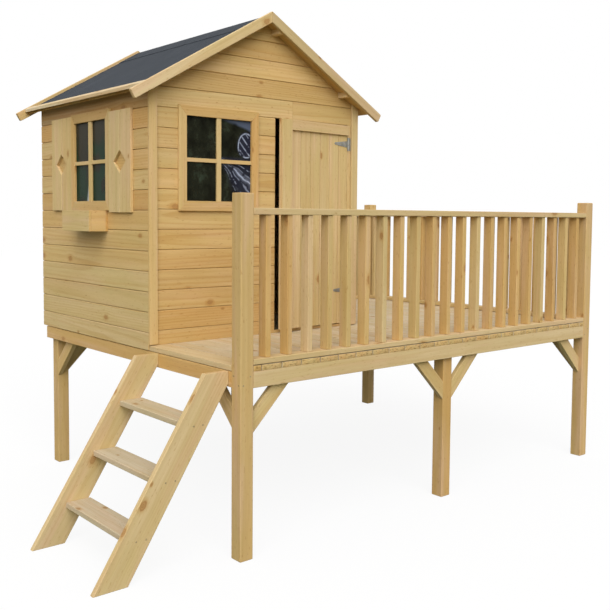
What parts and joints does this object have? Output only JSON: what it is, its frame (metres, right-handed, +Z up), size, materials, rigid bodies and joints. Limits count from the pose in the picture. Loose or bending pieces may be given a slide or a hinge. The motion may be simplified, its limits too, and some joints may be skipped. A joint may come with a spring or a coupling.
{
  "type": "playhouse",
  "caption": "Wooden children's cabin with a gabled felt roof, hinged door and shuttered windows, on a raised railed deck with a leaning ladder.",
  "frame": {"origin": "ground level under the middle of the whole part's footprint, ladder included", "axes": "+X to the right along the deck's front railing, away from the ladder; +Y from the front railing to the back; +Z up"},
  "size_m": [3.5354, 2.26, 2.72],
  "materials": {
    "timber": "planed, pressure-treated softwood",
    "cladding_timber": "planed tongue and groove softwood",
    "post_timber": "planed, pressure-treated softwood",
    "deck_timber": "planed softwood, slightly weathered",
    "clear_pane": "clear acrylic with protective film",
    "felt": "mineral-surfaced bitumen felt",
    "zinc": "zinc plated"
  },
  "bodies": {
    "playhouse": {"post_front_left": "post_timber", "post_front_right": "post_timber", "post_back_right": "post_timber", "leg_front_middle": "post_timber", "leg_back_middle": "post_timber", "leg_back_left": "post_timber", "beam_front": "timber", "beam_left": "timber", "beam_right": "timber", "beam_back": "timber", "joist_middle": "timber", "brace_front_left": "timber", "brace_front_middle_left": "timber", "brace_front_middle_right": "timber", "brace_front_right": "timber", "brace_back_left": "timber", "brace_back_middle_left": "timber", "brace_back_middle_right": "timber", "brace_back_right": "timber", "brace_left_front": "timber", "brace_left_back": "timber", "brace_right_front": "timber", "brace_right_back": "timber", "deck_boards": "deck_timber", "railing_front_slats": "timber", "railing_front_top_rail": "timber", "railing_back_slats": "timber", "railing_back_top_rail": "timber", "railing_right_slats": "timber", "railing_right_top_rail": "timber", "ladder_stringer_near": "timber", "ladder_stringer_far": "timber", "ladder_tread_1": "timber", "ladder_tread_2": "timber", "ladder_tread_3": "timber", "wall_front": "cladding_timber", "wall_back": "cladding_timber", "wall_left": "cladding_timber", "wall_right": "cladding_timber", "corner_trim_left": "timber", "corner_trim_right": "timber", "window_front_frame": "timber", "window_front_pane": "clear_pane", "window_side_frame": "timber", "window_side_pane": "clear_pane", "shutter_near": "timber", "shutter_far": "timber", "planter_box": "timber", "door_jamb": "timber", "hinge_plate_upper": "zinc", "hinge_plate_lower": "zinc", "roof_panel_left": "timber", "roof_panel_right": "timber", "roof_felt": "felt", "bargeboard_front_left": "timber", "bargeboard_front_right": "timber", "bargeboards_back": "timber"},
    "door": {"door_leaf": "timber", "hinge_strap_upper": "zinc", "hinge_strap_lower": "zinc"}
  },
  "joints": [
    {"name": "door_hinge", "type": "hinge", "parent": "playhouse", "child": "door", "pos_m": [0.3067, -0.3238, 1.578], "axis": [0, 0, 1], "range_deg": [-3.5, 136.5]}
  ]
}
